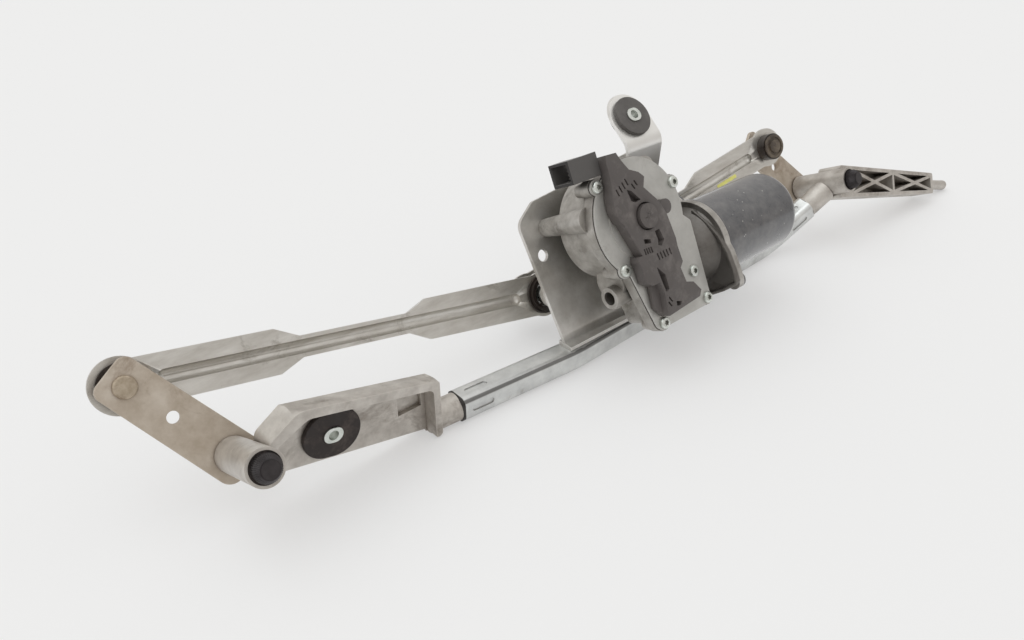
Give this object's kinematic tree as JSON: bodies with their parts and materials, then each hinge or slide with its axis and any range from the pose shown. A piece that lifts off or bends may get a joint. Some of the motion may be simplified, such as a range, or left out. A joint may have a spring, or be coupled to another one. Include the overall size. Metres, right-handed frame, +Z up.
{
  "type": "wiper linkage",
  "caption": "Windscreen wiper linkage: geared motor on a bracket and frame tube, whose crank drives two levers on wiper spindles through pressed link rods.",
  "frame": {"origin": "end of the near spindle's knurled land, on its axis", "axes": "+X along the linkage from the near spindle to the far one, +Z up with the frame tube lying level, -Y to the front, where the spindle ends point"},
  "size_m": [0.8368, 0.1484, 0.1686],
  "materials": {
    "tube_steel": "zinc plated",
    "cast_alloy": "die cast",
    "gear_alloy": "die cast, dusty",
    "cover_alloy": "pressed",
    "rubber": "matt",
    "bright_steel": "zinc plated",
    "plate_steel": "zinc plated, worn",
    "zinc_steel": "aged zinc",
    "rod_steel": "zinc plated",
    "black_steel": "blackened",
    "can_paint": "gloss paint, scuffed",
    "black_plastic": "moulded",
    "gear_plastic": "moulded",
    "card": "pressed board",
    "carbon": "pressed",
    "magnet": "sintered",
    "core_steel": "stacked",
    "copper": "bare",
    "bronze": "sintered"
  },
  "bodies": {
    "frame": {"frame_tube": "tube_steel", "near_pivot_housing": "cast_alloy", "far_pivot_housing": "cast_alloy", "near_mount_grommet": "rubber", "near_mount_sleeve": "bright_steel", "top_mount_grommet": "rubber", "top_mount_sleeve": "bright_steel", "motor_bracket": "plate_steel", "bracket_screws": "bright_steel", "gear_housing": "gear_alloy", "gear_cover": "cover_alloy", "cover_gasket": "rubber", "cover_screws": "bright_steel", "control_cover": "black_plastic", "connector_housing": "black_plastic", "connector_pins": "copper", "motor_can": "can_paint", "can_screws": "bright_steel", "field_magnets": "magnet", "brush_card": "card", "brushes": "carbon", "armature_bearings": "bronze", "output_bush": "bronze", "near_spindle_bushes": "bronze", "far_spindle_bushes": "bronze", "thrust_washers": "bright_steel", "spindle_seals": "rubber"},
    "near_lever_arm": {"near_spindle": "black_steel", "near_lever": "zinc_steel", "near_ball_stud": "bright_steel"},
    "far_lever_arm": {"far_spindle": "black_steel", "far_lever": "zinc_steel", "far_ball_stud": "bright_steel"},
    "near_rod": {"near_link_rod": "rod_steel", "near_lever_socket": "black_plastic", "near_crank_socket": "black_plastic"},
    "far_rod": {"far_link_rod": "rod_steel", "far_lever_socket": "black_plastic", "far_crank_socket": "black_plastic"},
    "crank": {"output_shaft": "bright_steel", "worm_wheel": "gear_plastic", "crank_arm": "plate_steel", "crank_ball_stud": "bright_steel", "crank_nut": "bright_steel"},
    "armature": {"armature_shaft": "bright_steel", "armature_core": "core_steel", "commutator": "copper"}
  },
  "joints": [
    {"name": "crank_turn", "type": "hinge", "parent": "frame", "child": "crank", "pos_m": [0.293, 0.07658, 0.01373], "axis": [0, -0.891, 0.454], "range_deg": [-45, 0]},
    {"name": "armature_spin", "type": "hinge", "parent": "frame", "child": "armature", "pos_m": [0.293, 0.0101, 0.0044], "axis": [1, 0, 0], "range_deg": [-2340, 0]},
    {"name": "near_lever_swing", "type": "hinge", "parent": "frame", "child": "near_lever_arm", "pos_m": [0, 0.05524, -0.02815], "axis": [0, -0.891, 0.454], "range_deg": [0, 31.2]},
    {"name": "near_rod_pivot", "type": "hinge", "parent": "near_lever_arm", "child": "near_rod", "pos_m": [-0.03921, 0.09602, 0.01885], "axis": [0, -0.891, 0.454], "range_deg": [-19.6, 0]},
    {"name": "far_lever_swing", "type": "hinge", "parent": "frame", "child": "far_lever_arm", "pos_m": [0.576, 0.05524, -0.02815], "axis": [0, -0.891, 0.454], "range_deg": [0, 23.3]},
    {"name": "far_rod_pivot", "type": "hinge", "parent": "far_lever_arm", "child": "far_rod", "pos_m": [0.52509, 0.06054, 0.02629], "axis": [0, -0.891, 0.454], "range_deg": [-35.6, 0]}
  ],
  "couplings": [
    {"joint": "armature_spin", "follows": "crank_turn", "ratio": 52},
    {"joint": "near_lever_swing", "follows": "crank_turn", "ratio": -0.6922},
    {"joint": "near_rod_pivot", "follows": "crank_turn", "ratio": 0.4344},
    {"joint": "far_lever_swing", "follows": "crank_turn", "ratio": -0.5168},
    {"joint": "far_rod_pivot", "follows": "crank_turn", "ratio": 0.7896}
  ]
}
